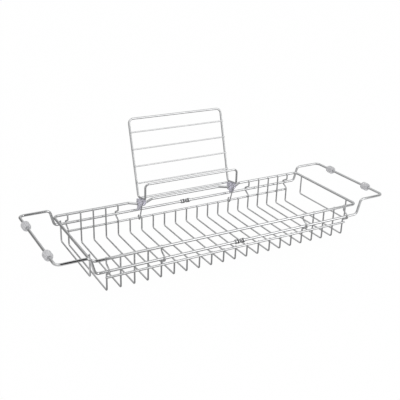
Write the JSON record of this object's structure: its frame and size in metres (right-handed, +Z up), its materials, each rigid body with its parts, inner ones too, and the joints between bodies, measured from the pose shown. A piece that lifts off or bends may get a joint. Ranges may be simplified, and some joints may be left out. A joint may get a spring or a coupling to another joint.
{
  "type": "bath caddy",
  "caption": "Chromed wire bath caddy: a shallow basket, arms that slide out to the tub's edges on soft pads, and a fold-down reading rack.",
  "frame": {"origin": "under the middle floor wire, on the plane that the basket stands on", "axes": "+X along the caddy, from one tub edge to the other; +Y from the bather towards the reading rack; +Z up"},
  "size_m": [0.6926, 0.2582, 0.2162],
  "materials": {
    "chromed_steel": "bright chrome plate on steel wire",
    "frosted_grip": "frosted, slightly see-through soft plastic",
    "clip_plastic": "milky, slightly see-through moulded plastic"
  },
  "bodies": {
    "basket": {"basket_rim": "chromed_steel", "front_lower_rail": "chromed_steel", "rear_lower_rail": "chromed_steel", "cross_wire_01": "chromed_steel", "cross_wire_02": "chromed_steel", "cross_wire_03": "chromed_steel", "cross_wire_04": "chromed_steel", "cross_wire_05": "chromed_steel", "cross_wire_06": "chromed_steel", "cross_wire_07": "chromed_steel", "cross_wire_08": "chromed_steel", "cross_wire_09": "chromed_steel", "cross_wire_10": "chromed_steel", "cross_wire_11": "chromed_steel", "cross_wire_12": "chromed_steel", "cross_wire_13": "chromed_steel", "cross_wire_14": "chromed_steel", "cross_wire_15": "chromed_steel", "cross_wire_16": "chromed_steel", "cross_wire_17": "chromed_steel", "cross_wire_18": "chromed_steel", "cross_wire_19": "chromed_steel", "cross_wire_20": "chromed_steel", "cross_wire_21": "chromed_steel", "left_end_wire": "chromed_steel", "right_end_wire": "chromed_steel", "left_rack_bracket": "chromed_steel", "right_rack_bracket": "chromed_steel"},
    "left_arm": {"left_arm": "chromed_steel", "left_front_stop_cap": "chromed_steel", "left_rear_stop_cap": "chromed_steel"},
    "left_front_grip": {"left_front_grip": "frosted_grip"},
    "left_rear_grip": {"left_rear_grip": "frosted_grip"},
    "right_arm": {"right_arm": "chromed_steel", "right_front_stop_cap": "chromed_steel", "right_rear_stop_cap": "chromed_steel"},
    "right_front_grip": {"right_front_grip": "frosted_grip"},
    "right_rear_grip": {"right_rear_grip": "frosted_grip"},
    "reading_rack": {"rack_frame": "chromed_steel", "rack_bar_1": "chromed_steel", "rack_bar_2": "chromed_steel", "rack_bar_3": "chromed_steel", "rack_bar_4": "chromed_steel", "ledge_bar": "chromed_steel", "left_rack_clip": "clip_plastic", "right_rack_clip": "clip_plastic"}
  },
  "joints": [
    {"name": "left_arm_slide", "type": "slide", "parent": "basket", "child": "left_arm", "axis": [-1, 0, 0], "range_m": [0, 0.1395]},
    {"name": "right_arm_slide", "type": "slide", "parent": "basket", "child": "right_arm", "axis": [1, 0, 0], "range_m": [0, 0.1368]},
    {"name": "rack_fold", "type": "hinge", "parent": "basket", "child": "reading_rack", "pos_m": [0, 0.0873, 0.06254], "axis": [1, 0, 0], "range_deg": [0, 106]},
    {"name": "left_front_grip_slide", "type": "slide", "parent": "left_arm", "child": "left_front_grip", "axis": [0, 1, 0], "range_m": [-0.0189, 0.0552]},
    {"name": "left_rear_grip_slide", "type": "slide", "parent": "left_arm", "child": "left_rear_grip", "axis": [0, 1, 0], "range_m": [-0.0472, 0.0269]},
    {"name": "right_front_grip_slide", "type": "slide", "parent": "right_arm", "child": "right_front_grip", "axis": [0, 1, 0], "range_m": [-0.0309, 0.0432]},
    {"name": "right_rear_grip_slide", "type": "slide", "parent": "right_arm", "child": "right_rear_grip", "axis": [0, 1, 0], "range_m": [-0.0474, 0.0267]}
  ]
}
